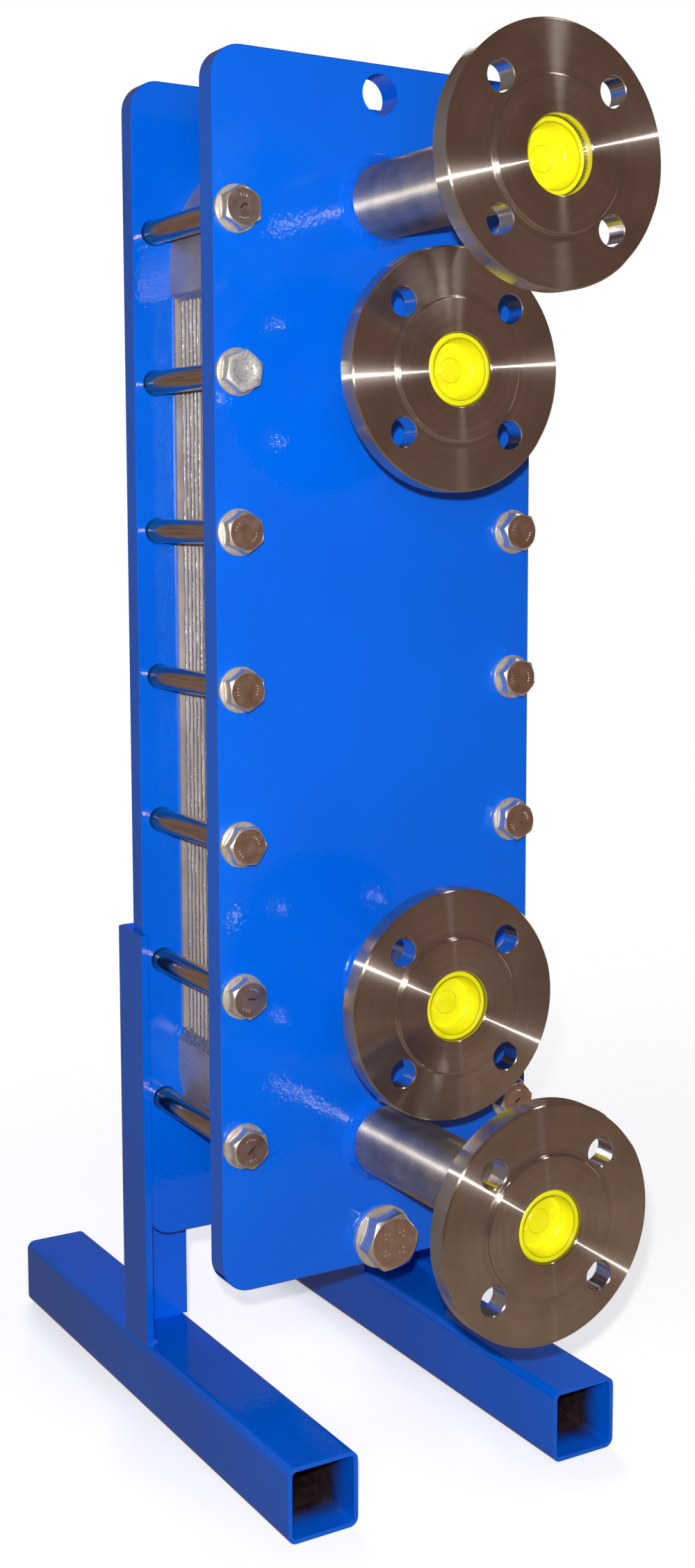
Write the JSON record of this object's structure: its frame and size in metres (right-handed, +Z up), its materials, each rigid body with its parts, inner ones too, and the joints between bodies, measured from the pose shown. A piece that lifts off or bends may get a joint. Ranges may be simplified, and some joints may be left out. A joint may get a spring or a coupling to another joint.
{
  "type": "plate heat exchanger",
  "caption": "Welded plate heat exchanger: stainless plate pack and hoods between bolted blue pressure plates, flanged nozzles on the front, on a stand of angle legs and square tube feet.",
  "frame": {"origin": "on the ground, in the middle of the whole object's outline", "axes": "+Z up, -Y towards the nozzles, +X to the right seen from the nozzle side"},
  "size_m": [0.252, 0.55, 0.925],
  "materials": {
    "blue_enamel": "glossy saturated blue enamel with slight orange peel",
    "turned_steel": "stainless steel turned on a lathe, fine concentric grooves",
    "pipe_steel": "satin pickled stainless tube",
    "hood_steel": "smooth rolled stainless sheet, faint heat tint",
    "pack_steel": "rough welded edges of thin stainless plates",
    "zinc_plate": "bright zinc plating, slightly tarnished",
    "yellow_plastic": "soft moulded polyethylene"
  },
  "bodies": {
    "exchanger": {"bolt_washers_left": "zinc_plate", "bolt_washers_right": "zinc_plate", "bottom_hood": "hood_steel", "bottom_inner_flange": "turned_steel", "bottom_inner_nozzle": "pipe_steel", "bottom_outer_flange": "turned_steel", "bottom_outer_nozzle": "pipe_steel", "cassette_01": "pack_steel", "cassette_02": "pack_steel", "cassette_03": "pack_steel", "cassette_04": "pack_steel", "cassette_05": "pack_steel", "cassette_06": "pack_steel", "cassette_07": "pack_steel", "cassette_08": "pack_steel", "cassette_09": "pack_steel", "cassette_10": "pack_steel", "cassette_11": "pack_steel", "cassette_12": "pack_steel", "cassette_13": "pack_steel", "cassette_14": "pack_steel", "cassette_15": "pack_steel", "cassette_16": "pack_steel", "centre_bolt": "zinc_plate", "centre_bolt_front_washer": "zinc_plate", "centre_bolt_rear_washer": "zinc_plate", "centre_nut": "zinc_plate", "flange_welds": "pipe_steel", "front_plate": "blue_enamel", "left_foot": "blue_enamel", "left_leg": "blue_enamel", "nozzle_root_welds": "blue_enamel", "pack_front_sheet": "hood_steel", "pack_rear_sheet": "hood_steel", "pack_welds": "pack_steel", "port_rings": "pack_steel", "rear_plate": "blue_enamel", "right_foot": "blue_enamel", "right_leg": "blue_enamel", "side_spacers": "pack_steel", "stand_welds": "blue_enamel", "tie_bolts_left": "zinc_plate", "tie_bolts_right": "zinc_plate", "top_hood": "hood_steel", "top_inner_flange": "turned_steel", "top_inner_nozzle": "pipe_steel", "top_outer_flange": "turned_steel", "top_outer_nozzle": "pipe_steel"},
    "bottom_inner_plug": {"bottom_inner_plug": "yellow_plastic"},
    "bottom_outer_plug": {"bottom_outer_plug": "yellow_plastic"},
    "top_inner_plug": {"top_inner_plug": "yellow_plastic"},
    "top_outer_plug": {"top_outer_plug": "yellow_plastic"}
  },
  "joints": [
    {"name": "bottom_inner_plug_pull", "type": "slide", "parent": "exchanger", "child": "bottom_inner_plug", "axis": [0, -1, 0], "range_m": [0, 0.06]},
    {"name": "bottom_outer_plug_pull", "type": "slide", "parent": "exchanger", "child": "bottom_outer_plug", "axis": [0, -1, 0], "range_m": [0, 0.06]},
    {"name": "top_inner_plug_pull", "type": "slide", "parent": "exchanger", "child": "top_inner_plug", "axis": [0, -1, 0], "range_m": [0, 0.06]},
    {"name": "top_outer_plug_pull", "type": "slide", "parent": "exchanger", "child": "top_outer_plug", "axis": [0, -1, 0], "range_m": [0, 0.06]}
  ]
}
